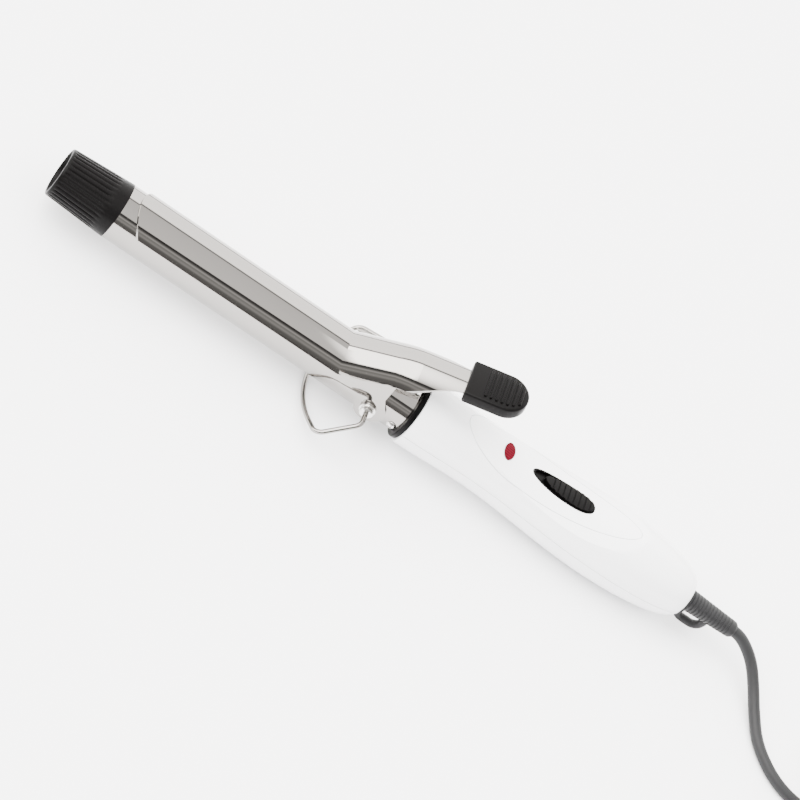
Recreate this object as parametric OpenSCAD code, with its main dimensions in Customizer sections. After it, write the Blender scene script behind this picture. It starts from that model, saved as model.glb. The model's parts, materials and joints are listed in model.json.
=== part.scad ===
// Curling iron with a spring clip, a folding wire stand and a two-part handle.
// The barrel lies along X with its cool tip at -X, the clip's lever is on top, and
// the iron stands level on z = 0 on its wire stand and the belly of its handle.

/* [Barrel] */
// Outer diameter of the barrel
barrel_d = 25; // [22:0.5:28]
// Wall of the barrel tube
barrel_wall = 0.8; // [0.6:0.1:1.2]
// Bare length from the cool tip to the handle
barrel_free = 150; // [130:1:190]
// Length of barrel held inside the handle
barrel_tail = 22; // [18:1:26]

/* [Cool tip] */
// Length of the cool tip
tip_len = 28.5; // [20:0.5:36]
// Diameter of the cool tip at its front
tip_front_d = 22; // [20:0.5:24]
// How far the tip's base rim stands out from the barrel
tip_rim = 0.1; // [0.1:0.1:1]
// Number of lengthwise flutes
tip_flutes = 32; // [16:1:36]
// Depth of the spigot in the barrel
tip_spigot = 12; // [8:1:16]

/* [Clip] */
// Sheet thickness of the clip
clip_wall = 0.8; // [0.6:0.1:1.2]
// Gap between the closed clip and the barrel
clip_gap = 0.3; // [0.2:0.1:0.6]
// Half of the angle that the clip wraps
clip_half_angle = 67; // [55:1:75]
// Bare barrel between the cool tip and the clip
clip_setback = 5; // [3:1:10]
// Distance from the handle's mouth to the kink where the lever starts
lever_start = 37; // [34:1:40]
// Slope of the lever next to the kink
lever_rise = 30; // [24:1:34]
// Slope of the lever at the thumb rest
lever_slope = 17; // [12:1:22]
// Length of the lever's first straight run
lever_run = 26; // [22:1:30]
// Length of the lever's last straight run
lever_tail = 41.5; // [38:0.5:48]
// Half width of the lever inside the thumb rest
lever_tip_half_w = 6.4; // [5:0.1:8]
// Thickness of the ear plates
ear_t = 1; // [0.8:0.1:1.2]
// Gap between an ear plate and the barrel's side
ear_gap = 0.5; // [0.4:0.1:1]

/* [Hinge and stand] */
// Distance from the handle's mouth to the hinge axis
hinge_back = 18.5; // [17:0.5:20]
// Radius of the hollow hinge rivets
rivet_r = 2.1; // [1.8:0.1:2.4]
// Radius of the stand's wire
wire_r = 1.1; // [0.8:0.1:1.3]
// Running clearance of the hinges
hinge_fit = 0.05; // [0.02:0.01:0.1]
// Width between the stand's legs at the hinge
stand_base_w = 48; // [42:1:54]
// Width of the stand at its corners
stand_w = 65; // [56:1:76]
// Distance of the corners from the hinge
stand_corner = 17.5; // [15:0.5:22]
// Distance from the hinge at which the crossbar's sides would meet
stand_peak = 41; // [37:0.5:46]
// Bend radius of the crossbar
stand_bow_r = 44; // [38:1:48]

/* [Thumb rest] */
// Length of the thumb rest
rest_len = 26.5; // [24:0.5:32]
// Width of the thumb rest
rest_w = 19.5; // [18:0.5:24]
// Thickness of the thumb rest
rest_t = 6.2; // [5.6:0.1:8]
// Cover of the thumb rest over the lever
rest_cover = 2.2; // [1.6:0.1:3]
// Number of grip ribs
rest_ribs = 8; // [5:1:10]

/* [Handle] */
// Length of the handle shells
handle_len = 150; // [135:1:165]
// Outer radius at the mouth
mouth_r = 16.2; // [15.8:0.1:17]
// Outer radius at the waist
waist_r = 14.8; // [14.6:0.1:15.6]
// Distance of the waist from the mouth
waist_x = 37; // [32:1:42]
// Outer radius at the belly
belly_r = 17.7; // [16.5:0.1:19]
// Distance of the belly from the mouth
belly_x = 100; // [92:1:108]
// Outer radius at the cord end
tail_r = 8.3; // [7.6:0.1:9.5]
// Wall of the handle shells
shell_wall = 2; // [1.6:0.1:2.2]
// How far the handle droops below the barrel's line, in degrees
droop = 1.15; // [0:0.05:2]
// Outer radius of the black collar at the mouth
collar_r = 15; // [14.6:0.1:16]
// Length of the collar that shows in front of the handle
collar_show = 2.3; // [1.5:0.1:3]
// Width and depth of the seam groove between the shells
seam = 0.5; // [0.2:0.1:0.8]

/* [Control panel] */
// Thickness of the inset panel
panel_t = 1.8; // [1.4:0.1:2.2]
// Distance of the inset's lowest point from the mouth
scoop_x = 65.5; // [62:0.5:69]
// Height of the inset's lowest point over the handle's axis
scoop_h = 11.3; // [10.9:0.1:11.7]
// Lengthwise radius of the inset
scoop_r = 223; // [200:1:250]
// Crosswise radius of the inset
crown_r = 36; // [30:1:44]
// Distance of the panel's widest place from the mouth
panel_x = 56; // [52:0.5:60]
// Length of the panel in front of its widest place
panel_front = 36; // [32:0.5:38]
// Length of the panel behind its widest place
panel_back = 57.5; // [50:0.5:60]
// Half of the panel's greatest width
panel_half_w = 12.1; // [10:0.1:12.6]
// Distance of the lamp from the mouth
lamp_x = 43.5; // [40:0.5:46]
// Distance of the switch opening's front point from the mouth
switch_x = 57; // [55:0.5:59]
// Length of the switch opening
switch_len = 33; // [30:0.5:36]
// Width of the switch opening
switch_w = 10.2; // [9.5:0.1:12]
// Travel of the slider
switch_travel = 5; // [3:0.5:6]

/* [Strain relief and cord] */
// Length of the strain relief outside the handle
relief_len = 28.5; // [20:0.5:40]
// Radius of the strain relief at the handle
relief_r = 5.3; // [4.8:0.1:6]
// Radius of the strain relief at its end
relief_end_r = 3.9; // [3.4:0.1:4.6]
// Number of rings on the strain relief
relief_rings = 14; // [6:1:16]
// Diameter of the cord
cord_d = 5.4; // [5:0.1:6]
// Length of the tied hank
hank_len = 132; // [110:1:150]
// Width of the tied hank
hank_w = 50; // [44:0.2:56]
// Height of the tied hank
hank_h = 16.2; // [12:0.2:20]

/* [Hidden] */
$fn = 64;
eps = 0.1;
fit = 0.05;

barrel_r = barrel_d / 2;
bore_r = barrel_r - barrel_wall;
clip_ri = barrel_r + clip_gap;
clip_ro = clip_ri + clip_wall;
clip_edge = clip_ro * cos(clip_half_angle);
clip_front = clip_setback - barrel_free;
lever_bend = lever_rise - lever_slope;
lever_bend_r = 30;
ear_y = barrel_r + ear_gap;
screw_x = -5.4;
screw_turn = 12;
screw_shank_r = 1.4;
screw_head_r = 2.3;
collar_bore_x = 8;
collar_spigot_r = mouth_r - shell_wall - 0.25;
support_flange_t = 3;
support_flange_r = waist_r - shell_wall;
lens_half = [2.7, 4.6];
panel_line = [0.35, 0.5];
panel_ledge = 2;
heater_x = -38;
heater_front_gap = 30;
heater_len = barrel_free + heater_x - heater_front_gap;
stone_gap = 2;
stone_count = 3;
stone = [(heater_len - 10) / stone_count - stone_gap, 14, 2.3];
electrode_t = 0.4;
mica_t = 0.3;
cord_r = cord_d / 2;
rim_t = 0.6;
panel_seat_t = 1.2;
panel_hole_from = 6.2;
pocket_depth = 1.4;
slider_gap = 0.25;
slider_proud = 1.1;
stem = [3, 2.2];
pin_r = 2;
pin_len = 19;
pin_pitch = 18.6;
pin_root_r = 1.6;
pin_root = 8;
plug = [38, 35, 13.7];
tie = [9, 0.5];

// Outer radius of the handle at x behind its mouth
function ease(u) = (1 - cos(180 * u)) / 2;
function handle_r(x) =
    x < waist_x ? mouth_r + (waist_r - mouth_r) * ease(x / waist_x)
    : x < belly_x ? waist_r + (belly_r - waist_r) * ease((x - waist_x) / (belly_x - waist_x))
    : tail_r + (belly_r - tail_r) * sqrt(max(0, 1 - pow((x - belly_x) / (handle_len - belly_x), 2)));
// Stations along the handle, closer together where its end rounds off
function handle_stations(end) = concat([for (i = [0:13]) belly_x * i / 14],
    [for (i = [0:11]) belly_x + (end - belly_x) * sin(90 * i / 11)]);

belly_drop = max([for (x = [0:1:handle_len]) handle_r(x) * cos(droop) + x * sin(droop)]);
axis_h = belly_drop;
tip_x = -(barrel_free + tip_len);
relief_end_x = handle_len + relief_len;
mid_x = (tip_x + relief_end_x * cos(droop) + relief_end_r * sin(droop)) / 2;

// The stand's corner points in its own plane: distance from the hinge, then Y
stand_foot = barrel_r - 1.1;
stand_path = [[0, -stand_foot], [0, -stand_base_w / 2], [stand_corner, -stand_w / 2], [stand_peak, 0],
    [stand_corner, stand_w / 2], [0, stand_base_w / 2], [0, stand_foot]];
stand_radii = [0, 4, 4.5, stand_bow_r, 4.5, 4, 0];
stand_half_peak = atan((stand_peak - stand_corner) / (stand_w / 2));
stand_reach = stand_peak - stand_bow_r * (1 / cos(stand_half_peak) - 1);
stand_angle = asin((axis_h - wire_r) / stand_reach);

// The cord's route from the strain relief to the hank, and from the hank to the plug
cord_route = [[178.6, 0, 16.1], [181.6, -0.2, 15.8], [184.8, -0.9, 15.1], [188.1, -2.2, 14], [191.6, -4.2, 12.6],
    [195, -7, 10.9], [198.2, -10.6, 8.9], [201.4, -15.2, 6.8], [204.3, -20.4, 5], [207.2, -26, 3.7],
    [210, -31.6, 2.9], [213.4, -37, 2.7], [217.8, -42, 2.7], [223.2, -46.4, 2.7], [229.6, -49.8, 2.8],
    [236.6, -51.8, 3], [244, -52.3, 3.2], [252, -52.3, 3.2], [271, -52.3, 3.2]];
tail_route = [[353, -13.1, 14], [346, -14.2, 14.5], [339, -17.4, 16], [332, -22, 18.2], [325, -27.1, 20.4],
    [318, -31.7, 22.1], [311, -34.9, 23.2], [304, -36, 23.55]];
hank_c = [312, -30];
tie_x = 311.5;
hank_base = tie.y;

// ---- helpers ----

// Places the barrel's frame (x = 0 at the handle's mouth, z = 0 on the barrel's axis)
module placed() {
    translate([-mid_x, 0, axis_h]) children();
}
// Places the handle's own frame, which droops a little
module on_handle() {
    placed() rotate([0, droop, 0]) children();
}
// A solid of revolution about X, drawn as [radius, x]
module turned() {
    rotate([0, 90, 0]) rotate_extrude() children();
}
module rod_x(x0, x1, r) {
    translate([x0, 0, 0]) rotate([0, 90, 0]) cylinder(r = r, h = x1 - x0);
}
module rod_y(x, z, y0, y1, r) {
    translate([x, y0, z]) rotate([-90, 0, 0]) cylinder(r = r, h = y1 - y0);
}
// Draws its children on both screw lines, which run out from the barrel's axis along +Z
module on_screw_lines() {
    both_sides() rotate([screw_turn, 0, 0]) translate([screw_x, 0, 0]) rotate([90, 0, 0]) children();
}
module block(x, y, z) {
    translate([x[0], y[0], z[0]]) cube([x[1] - x[0], y[1] - y[0], z[1] - z[0]]);
}
// Draws its children on both sides of the XZ plane
module both_sides() {
    children();
    mirror([0, 1, 0]) children();
}
// Bends of a path of straight runs joined by arcs
function unit(v) = v / norm(v);
function turn_at(p, i) = let (a = unit(p[i] - p[i - 1]), b = unit(p[i + 1] - p[i]))
    atan2(a.x * b.y - a.y * b.x, a * b);
function trim_at(p, r, i) = i == 0 || i == len(p) - 1 ? 0 : r[i] * tan(abs(turn_at(p, i)) / 2);
function heading(p, i) = let (d = p[i + 1] - p[i]) atan2(d.y, d.x);
// Each run reaches a little way into the bends, which are a hair thinner
lap = 0.1;
hair = 0.02;
module each_run(p, r) {
    last = len(p) - 2;
    for (i = [0:last]) {
        ahead = i == 0 ? 0 : lap;
        behind = i == last ? 0 : lap;
        start = p[i] + unit(p[i + 1] - p[i]) * (trim_at(p, r, i) - ahead);
        $run = norm(p[i + 1] - p[i]) - trim_at(p, r, i) - trim_at(p, r, i + 1) + ahead + behind;
        translate(start) rotate(heading(p, i)) children();
    }
}
module each_bend(p, r) {
    for (i = [1:len(p) - 2]) {
        turn = turn_at(p, i);
        side = sign(turn);
        d = unit(p[i] - p[i - 1]);
        centre = p[i] - d * trim_at(p, r, i) + [-d.y, d.x] * side * r[i];
        $bend = abs(turn);
        $bend_r = r[i];
        translate(centre) rotate(heading(p, i - 1) - 90 * side + min(turn, 0)) children();
    }
}
// Round wire along a flat path
module bent_wire(p, r, wr) {
    each_run(p, r) rotate([0, 90, 0]) cylinder(r = wr, h = $run);
    each_bend(p, r) rotate_extrude(angle = $bend) translate([$bend_r, 0]) circle(r = wr - hair);
}
// Flat strip on edge along a flat path, w wide
module bent_strip(p, r, t, w) {
    each_run(p, r) translate([0, -t / 2, -w / 2]) cube([$run, t, w]);
    each_bend(p, r) rotate_extrude(angle = $bend)
        translate([$bend_r - t / 2 + hair, hair - w / 2]) square([t - 2 * hair, w - 2 * hair]);
}
// Stands a flat path up in the XZ plane
module upright() {
    rotate([90, 0, 0]) children();
}

// Smooth curve through a list of points, then a tube along it
function spline_at(p, i, u) = let (
        a = p[max(i - 1, 0)], b = p[i], c = p[i + 1], d = p[min(i + 2, len(p) - 1)])
    0.5 * (2 * b + (c - a) * u + (2 * a - 5 * b + 4 * c - d) * u * u + (3 * b - a - 3 * c + d) * u * u * u);
function smooth_route(p, n) = concat(
    [for (i = [0:len(p) - 2]) for (j = [0:n - 1]) spline_at(p, i, j / n)], [p[len(p) - 1]]);
function ring_at(c, i, r, sides) = let (
        t = unit(c[min(i + 1, len(c) - 1)] - c[max(i - 1, 0)]),
        s = unit(cross(t, [0, 0, 1])),
        u = cross(s, t))
    [for (k = [0:sides - 1]) c[i] + r * cos(360 * k / sides) * s + r * sin(360 * k / sides) * u];
module tube_along(c, r, sides) {
    n = len(c);
    points = [for (i = [0:n - 1]) each ring_at(c, i, r, sides)];
    walls = [for (i = [0:n - 2]) for (k = [0:sides - 1])
        let (m = (k + 1) % sides)
        [i * sides + k, i * sides + m, (i + 1) * sides + m, (i + 1) * sides + k]];
    ends = [[for (k = [sides - 1:-1:0]) k], [for (k = [0:sides - 1]) (n - 1) * sides + k]];
    polyhedron(points = points, faces = concat(walls, ends));
}

// ---- barrel and heater ----

module barrel() {
    placed() color("gainsboro") difference() {
        rod_x(-barrel_free, barrel_tail, barrel_r);
        rod_x(-barrel_free - eps, barrel_tail + eps, bore_r);
        rod_y(-hinge_back, 0, -barrel_d, barrel_d, rivet_r);
        on_screw_lines() cylinder(r = screw_shank_r, h = barrel_d);
    }
}

module cool_tip() {
    front_r = tip_front_d / 2;
    rim_r = barrel_r + tip_rim;
    spigot_r = bore_r - fit;
    edge_r = 0.9;
    base_step = 0.25;
    wall = 2.4;
    flute_r = 0.55;
    flute = [1.2, tip_len - 6];
    taper = atan((rim_r - base_step - front_r) / tip_len);
    placed() translate([tip_x, 0, 0]) color("#2b2a2a") difference() {
        turned() polygon(concat(
            [[0, 0]],
            [for (a = [0:15:90]) [front_r - edge_r + edge_r * sin(a), edge_r - edge_r * cos(a)]],
            [[rim_r - base_step, tip_len - 4.5], [rim_r, tip_len - 3.5], [rim_r, tip_len]],
            [[spigot_r, tip_len], [spigot_r, tip_len + tip_spigot]],
            [[spigot_r - wall, tip_len + tip_spigot], [spigot_r - wall, wall], [0, wall]]));
        for (i = [0:tip_flutes - 1]) {
            rotate([360 * i / tip_flutes, 0, 0]) translate([flute[0], 0, front_r + 0.3])
                rotate([0, 90 - taper, 0]) cylinder(r = flute_r, h = flute[1] - flute[0], $fn = 16);
        }
    }
}

module heat_collar() {
    placed() color("#1c1c1c") turned() polygon([
        [barrel_r + fit, -collar_show], [collar_r - 0.5, -collar_show], [collar_r, 0.5 - collar_show],
        [collar_r, 0], [collar_spigot_r, 0], [collar_spigot_r, collar_bore_x], [barrel_r + fit, collar_bore_x]]);
}

module barrel_support() {
    spigot_r = bore_r - fit;
    hollow_r = 8.5;
    placed() color("#6b5a44") difference() {
        union() {
            rod_x(screw_x - 6, barrel_tail + fit, spigot_r);
            rod_x(barrel_tail, barrel_tail + support_flange_t, support_flange_r);
        }
        rod_x(screw_x - 7, barrel_tail + support_flange_t + eps, hollow_r);
        on_screw_lines() cylinder(r = screw_shank_r, h = barrel_d);
    }
}

// Screw along +Z with its head's underside at z = 0, domed, with a cross recess
module dome_screw(shank_r, shank_l, head_r, head_h) {
    cap_r = (head_r * head_r + head_h * head_h) / (2 * head_h);
    difference() {
        union() {
            translate([0, 0, -shank_l]) cylinder(r = shank_r, h = shank_l + eps);
            intersection() {
                translate([0, 0, head_h - cap_r]) sphere(r = cap_r);
                cylinder(r = head_r, h = head_h);
            }
        }
        for (a = [0, 90]) {
            rotate([0, 0, a]) translate([-head_r * 0.6, -0.25, head_h - 0.7]) cube([head_r * 1.2, 0.5, 1]);
        }
    }
}

module barrel_screws() {
    placed() color("silver") on_screw_lines() translate([0, 0, barrel_r])
        dome_screw(screw_shank_r, 5.5, screw_head_r, 1.5);
}

module hinge_rivets() {
    inner_y = bore_r - 1.4;
    outer_y = ear_y + ear_t;
    placed() color("silver") both_sides() translate([-hinge_back, 0, 0]) rotate([90, 0, 0])
        rotate_extrude() polygon([
            [wire_r + hinge_fit, inner_y], [rivet_r + 1.2, inner_y], [rivet_r + 1.2, inner_y + 0.7],
            [rivet_r, inner_y + 0.7], [rivet_r, outer_y + eps], [rivet_r + 1.5, outer_y + eps],
            [rivet_r + 1.5, outer_y + 1.2], [rivet_r + 0.6, outer_y + 1.3], [rivet_r + 0.9, outer_y + 2],
            [rivet_r + 0.9, outer_y + 3], [rivet_r + 0.4, outer_y + 3.4], [wire_r + hinge_fit, outer_y + 3.4]]);
}

module spreader(side) {
    seat = stone.z / 2 + electrode_t + mica_t;
    spread_r = bore_r - fit;
    duct_r = 3.4;
    placed() color("lightgray") difference() {
        rod_x(heater_x - heater_len, heater_x, spread_r);
        block([heater_x - heater_len - eps, heater_x + eps], [-barrel_d, barrel_d],
            side > 0 ? [-barrel_d, seat] : [-seat, barrel_d]);
        translate([0, 0, side * (seat + duct_r + 1.6)]) rod_x(heater_x - heater_len - eps, heater_x + eps, duct_r);
    }
}
module spreader_upper() { spreader(1); }
module spreader_lower() { spreader(-1); }

// A flat sheet of the heater's stack: its lowest height, thickness, half width and how far it runs back
module heater_sheet(z0, t, half_w, back) {
    block([heater_x - heater_len + 3, heater_x - 2 + back], [-half_w, half_w], [z0, z0 + t]);
}
module mica_upper() { placed() color("tan") heater_sheet(stone.z / 2 + electrode_t, mica_t, 9, 0); }
module mica_lower() { placed() color("tan") heater_sheet(-stone.z / 2 - electrode_t - mica_t, mica_t, 9, 0); }
module electrode_upper() { placed() color("goldenrod") heater_sheet(stone.z / 2, electrode_t, 6.5, 4); }
module electrode_lower() { placed() color("goldenrod") heater_sheet(-stone.z / 2 - electrode_t, electrode_t, 6.5, 4); }

module ptc_stone(i) {
    x0 = heater_x - heater_len + 5 + i * (stone.x + stone_gap);
    placed() color("dimgray") block([x0, x0 + stone.x], [-stone.y / 2, stone.y / 2], [-stone.z / 2, stone.z / 2]);
}
module ptc_stone_1() { ptc_stone(0); }
module ptc_stone_2() { ptc_stone(1); }
module ptc_stone_3() { ptc_stone(2); }

// ---- handle ----

// The handle's outer form, drawn smaller all round by inset
module handle_form(inset, from, to) {
    stations = [for (x = handle_stations(handle_len)) if (x > from && x < to) x];
    turned() polygon(concat(
        [[0, from], [handle_r(max(from, 0)) - inset, from]],
        [for (x = stations) [handle_r(x) - inset, x]],
        [[handle_r(to) - inset, to], [0, to]]));
}
module handle_skin() { handle_form(0, -0.6, handle_len); }
module handle_cavity() {
    shift = 1.4;
    difference() {
        translate([-shift, 0, 0]) handle_form(shell_wall, -5, handle_len - 0.6);
        rod_x(handle_len - shell_wall, handle_len + 5, belly_r);
    }
}
// Everything above the inset's surface, lowered by depth
module scoop(depth) {
    translate([scoop_x, 0, scoop_h + scoop_r]) rotate([90, 0, 0]) rotate_extrude($fn = 360) difference() {
        translate([0, -18]) square([scoop_r + crown_r - 1, 36]);
        translate([scoop_r + crown_r, 0]) circle(r = crown_r - depth);
    }
}
// Plan outline of the panel: two half ellipses, drawn larger all round by grow
module panel_outline(grow) {
    polygon([for (a = [0:6:354]) let (reach = cos(a) > 0 ? panel_back : panel_front)
        [panel_x + (reach + grow) * cos(a), (panel_half_w + grow) * sin(a)]]);
}
module panel_column(grow, from) {
    translate([0, 0, from]) linear_extrude(30) panel_outline(grow);
}
module seam_groove() {
    difference() {
        block([-1, handle_len + eps], [-belly_r - 1, belly_r + 1], [-seam / 2, seam / 2]);
        handle_form(seam, -2, handle_len + 1);
    }
}
front_post = [30, 9.4];
rear_post_x = handle_len - 29;
post_r = 2.8;
handle_screw_r = 1.4;
post_places = [[front_post.x, front_post.y], [front_post.x, -front_post.y], [rear_post_x, 0]];
clamp_x = handle_len - 16;
clamp_post_y = 7;
// Ribs that hold the support's flange and the strain relief's flange
rib = 1.6;
module holding_ribs() {
    rod_x(barrel_tail - rib, barrel_tail + support_flange_t + rib, belly_r);
    difference() {
        rod_x(handle_len - 9.1, handle_len - 7.6, belly_r);
        rod_x(handle_len - 10, handle_len - 7, 3.2);
    }
}
// Room for the collar, the barrel and its support, in line with the barrel, with the mouth cut square to it
module barrel_seat() {
    flange_end = barrel_tail + support_flange_t;
    rotate([0, -droop, 0]) {
        rod_x(-5, 0.02, belly_r + 5);
        rod_x(-1, collar_bore_x + 0.1, collar_spigot_r + fit);
        rod_x(collar_bore_x - 1, barrel_tail, barrel_r + fit);
        rod_x(barrel_tail - 0.02, flange_end + 0.02, support_flange_r + fit);
        rod_x(flange_end - 1, flange_end + rib + 2, barrel_r - 1.2);
    }
}
module half_space(side) {
    block([-50, handle_len + 50], [-60, 60], side > 0 ? [0, 60] : [-60, 0]);
}

module handle_lower() {
    on_handle() color("white") difference() {
        intersection() {
            half_space(-1);
            union() {
                difference() {
                    handle_skin();
                    handle_cavity();
                }
                intersection() {
                    handle_form(0.3, 0, handle_len - 1);
                    union() {
                        holding_ribs();
                        for (p = post_places) {
                            translate([p.x, p.y, -30]) cylinder(r = post_r, h = 30);
                        }
                        for (s = [-1, 1]) {
                            translate([clamp_x, s * clamp_post_y, -30]) cylinder(r = 2.6, h = 26.8);
                        }
                    }
                }
            }
        }
        barrel_seat();
        rod_x(handle_len - 6, handle_len + eps, relief_r + fit);
        seam_groove();
        for (p = post_places) {
            translate([p.x, p.y, -30]) cylinder(r = handle_screw_r + 0.2, h = 31);
            translate([p.x, p.y, -30]) cylinder(r = 2.6, h = 30 - 8);
        }
        for (s = [-1, 1]) {
            translate([clamp_x, s * clamp_post_y, -12]) cylinder(r = 1, h = 12);
        }
    }
}

module handle_upper() {
    on_handle() color("white") difference() {
        intersection() {
            half_space(1);
            union() {
                difference() {
                    handle_skin();
                    handle_cavity();
                }
                intersection() {
                    handle_form(0.3, 0, handle_len - 1);
                    union() {
                        holding_ribs();
                        scoop(panel_t + panel_seat_t);
                        for (p = post_places) {
                            translate([p.x, p.y, 0]) cylinder(r = post_r, h = 30);
                        }
                    }
                }
            }
        }
        barrel_seat();
        rod_x(handle_len - 6, handle_len + eps, relief_r + fit);
        seam_groove();
        scoop(0);
        intersection() {
            scoop(panel_t);
            panel_column(fit, 0);
        }
        panel_column(-panel_ledge, panel_hole_from);
        for (p = post_places) {
            translate([p.x, p.y, -1]) cylinder(r = handle_screw_r, h = 7);
        }
    }
}

module handle_screws() {
    head_z = -8;
    on_handle() color("silver") for (p = post_places) {
        translate([p.x, p.y, head_z]) rotate([180, 0, 0]) dome_screw(handle_screw_r, 5.8 - head_z, 2.5, 1.6);
    }
}

module control_panel() {
    on_handle() color("white") difference() {
        intersection() {
            handle_skin();
            scoop(panel_t);
            panel_column(0, 0);
        }
        scoop(0);
        // a fine step that leaves a line round the rim
        intersection() {
            difference() {
                panel_column(1, 0);
                panel_column(-panel_line.x, -1);
            }
            union() {
                scoop(panel_line.y);
                difference() {
                    handle_form(-1, -1, handle_len);
                    handle_form(panel_line.y, -2, handle_len + 1);
                }
            }
        }
        translate([lamp_x, 0, 0]) linear_extrude(30) lens_outline(0);
        translate([switch_x, 0, 0]) linear_extrude(30) switch_outline(0);
    }
}

// Oval of the lamp's lens, smaller all round by inset
module lens_outline(inset) {
    polygon([for (a = [0:10:350]) [(lens_half.x - inset) * cos(a), (lens_half.y - inset) * sin(a)]]);
}
// Outline of the switch opening: a point in front, round behind
switch_wide = 0.62 * switch_len;
function switch_half_w(s) = switch_w / 2 * (s < switch_wide ? pow(sin(90 * s / switch_wide), 0.42)
    : pow(max(0, 1 - pow((s - switch_wide) / (switch_len - switch_wide), 2.6)), 1 / 2.6));
switch_stations = concat([for (i = [0:13]) switch_wide * pow(i / 14, 2)],
    [for (i = [0:12]) switch_wide + (switch_len - switch_wide) * sin(7.5 * i)]);
module switch_outline(inset) {
    shrink = 1 - 2 * inset / switch_w;
    lengthwise = 1 - 3 * inset / switch_len;
    translate([switch_len * (1 - lengthwise) * 0.62, 0]) polygon(concat(
        [for (s = switch_stations) [s * lengthwise, switch_half_w(s) * shrink]],
        [for (i = [len(switch_stations) - 2:-1:1])
            [switch_stations[i] * lengthwise, -switch_half_w(switch_stations[i]) * shrink]]));
}

module lamp_lens() {
    on_handle() color("#5c0f22") difference() {
        intersection() {
            translate([lamp_x, 0, scoop_h - 3.5]) linear_extrude(20) lens_outline(fit);
            scoop(3.2);
        }
        scoop(-0.7);
    }
}

lamp_r = 2.4;
lamp_z = scoop_h - 6.6;
module neon_lamp() {
    on_handle() color("orange") {
        translate([lamp_x - 6, 0, lamp_z]) rotate([0, 90, 0]) cylinder(r = lamp_r, h = 11);
        translate([lamp_x + 5 - eps, 0, lamp_z]) rotate([0, 90, 0]) cylinder(r = 0.4, h = 4);
    }
}

stem_x = switch_x + 0.6 * switch_len;
switch_case = [20, 12, 7];
switch_case_x = stem_x - switch_travel / 2 - switch_case.x / 2;
module switch_bezel() {
    slot = [switch_travel + stem.x + 1, stem.y + 0.6];
    on_handle() color("#161616") difference() {
        intersection() {
            translate([switch_x, 0, 0]) linear_extrude(30) switch_outline(fit);
            scoop(pocket_depth + 1.2);
        }
        scoop(-0.15);
        intersection() {
            translate([switch_x, 0, 0]) linear_extrude(30) switch_outline(rim_t);
            scoop(pocket_depth);
        }
        block([stem_x - switch_travel - stem.x / 2 - 0.4, stem_x + stem.x / 2 + 0.4],
            [-slot.y / 2, slot.y / 2], [0, 30]);
    }
}

module switch_slider() {
    rib_pitch = 2.7;
    rib_h = 0.45;
    first_rib = switch_x + switch_travel + 5;
    on_handle() color("#242424") {
        difference() {
            intersection() {
                translate([switch_x, 0, 0]) linear_extrude(30) intersection() {
                    switch_outline(rim_t + slider_gap);
                    translate([switch_travel, 0]) switch_outline(rim_t + slider_gap);
                }
                scoop(pocket_depth - 0.7);
            }
            scoop(-slider_proud);
            intersection() {
                for (i = [0:7]) {
                    translate([first_rib + i * rib_pitch, -10, 0]) cube([rib_pitch / 2, 20, 30]);
                }
                scoop(rib_h - slider_proud);
            }
        }
        block([stem_x - stem.x / 2, stem_x + stem.x / 2], [-stem.y / 2, stem.y / 2],
            [scoop_h - 6.4, scoop_h + 0.4]);
    }
}

module switch_body() {
    top = scoop_h - pocket_depth - 1.7;
    on_handle() color("#303034") difference() {
        block([switch_case_x, switch_case_x + switch_case.x],
            [-switch_case.y / 2, switch_case.y / 2], [top - switch_case.z, top]);
        block([stem_x - switch_travel - stem.x / 2 - 0.4, stem_x + stem.x / 2 + 0.4],
            [-stem.y / 2 - 0.3, stem.y / 2 + 0.3], [scoop_h - 6.8, 30]);
    }
}

// ---- leads ----

lead_r = 0.9;
crimp_r = 2;
crimp_x = [33, 43];
crimp_y = 4;
crimp_z = -6.5;
fuse_end = -23;
module crimp(y) {
    on_handle() color("lightblue") translate([0, y, crimp_z]) rod_x(crimp_x[0], crimp_x[1], crimp_r);
}
module crimp_neutral() { crimp(crimp_y); }
module crimp_live() { crimp(-crimp_y); }

module thermal_fuse() {
    placed() color("silver") translate([0, -4, 3.4]) rod_x(heater_x + 2.1, fuse_end, 1.9);
}
// A lead on side y from the heater to its crimp, in the handle's frame
module heater_lead(y, z_end, x_end) {
    upright() translate([0, 0, -y])
        bent_wire([[x_end, z_end], [18, z_end], [29, crimp_z], [crimp_x[0], crimp_z]], [0, 3, 3, 0], lead_r);
}
module wire_neutral() {
    on_handle() color("deepskyblue") {
        heater_lead(crimp_y, -3, heater_x + 2.1);
        upright() translate([0, 0, -crimp_y]) bent_wire([[crimp_x[1], crimp_z], [rear_post_x - 7, crimp_z],
            [rear_post_x, -1.5], [clamp_x - 3.1, -1.5]], [0, 3, 3, 0], lead_r);
    }
}
module wire_live_out() {
    on_handle() color("firebrick") {
        heater_lead(-crimp_y, 3, fuse_end + 0.1);
        upright() translate([0, 0, crimp_y])
            bent_wire([[crimp_x[1], crimp_z], [53, crimp_z], [59, 3.5], [switch_case_x - 0.1, 3.5]],
            [0, 3, 3, 0], lead_r);
    }
}
module wire_live_in() {
    on_handle() color("firebrick") upright() translate([0, 0, 4.2])
        bent_wire([[switch_case_x + switch_case.x + 0.1, 3.5], [rear_post_x - 21, 3.5], [rear_post_x - 12, -1.5],
        [clamp_x - 3.1, -1.5]], [0, 4, 4, 0], lead_r);
}

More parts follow.
